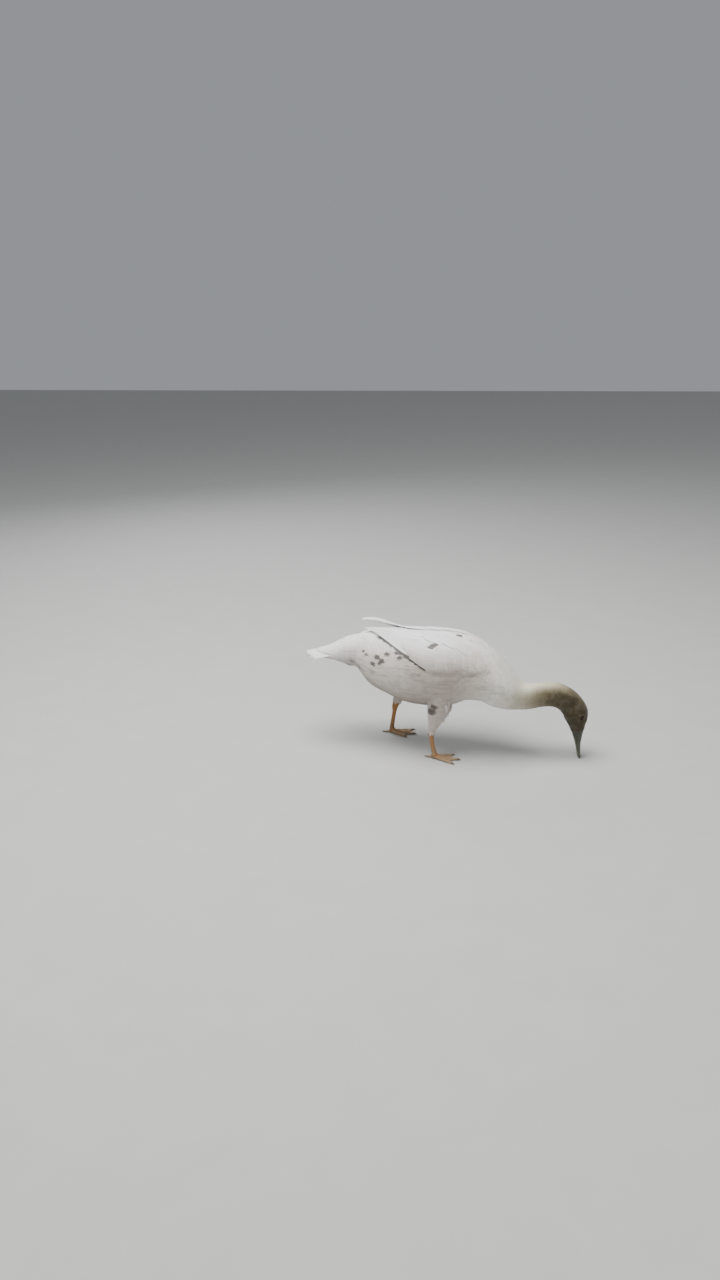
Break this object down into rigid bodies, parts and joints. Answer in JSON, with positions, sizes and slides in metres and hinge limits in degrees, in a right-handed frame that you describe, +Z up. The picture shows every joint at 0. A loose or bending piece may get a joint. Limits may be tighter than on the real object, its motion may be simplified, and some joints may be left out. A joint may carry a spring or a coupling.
{
  "type": "indian runner duck",
  "caption": "Life-size still model of a pale grey indian runner duck, grazing with its neck stretched forward, its wings folded and its bill down.",
  "frame": {"origin": "middle of the bounding box's base, on the ground under the belly", "axes": "+X the way the duck faces, +Y to its left, +Z up"},
  "size_m": [0.5456, 0.1456, 0.2524],
  "materials": {
    "body_feathers": "matte pale grey feathers",
    "neck_feathers": "matte brown-grey feathers",
    "head_feathers": "matte dark brown feathers",
    "bill_horn": "satin dark slate horn",
    "eye": "glossy dark brown",
    "wing_feathers": "smooth pale grey feathers",
    "tail_feathers": "smooth pale grey feathers",
    "thigh_feathers": "matte grey feathers",
    "leg_skin": "scaled orange-brown skin",
    "foot_skin": "scaled orange-brown skin and web",
    "claw_horn": "dark horn"
  },
  "bodies": {
    "root": {"torso": "body_feathers", "neck_lower": "neck_feathers", "neck_upper": "neck_feathers", "head": "head_feathers", "bill_upper": "bill_horn", "bill_lower": "bill_horn", "eye_left": "eye", "eye_right": "eye", "wing_left": "wing_feathers", "wing_right": "wing_feathers", "tail": "tail_feathers", "thigh_left": "thigh_feathers", "thigh_right": "thigh_feathers", "shank_left": "leg_skin", "shank_right": "leg_skin", "foot_left": "foot_skin", "foot_right": "foot_skin", "claw_left_inner": "claw_horn", "claw_left_middle": "claw_horn", "claw_left_outer": "claw_horn", "claw_left_hind": "claw_horn", "claw_right_inner": "claw_horn", "claw_right_middle": "claw_horn", "claw_right_outer": "claw_horn", "claw_right_hind": "claw_horn"}
  },
  "joints": []
}
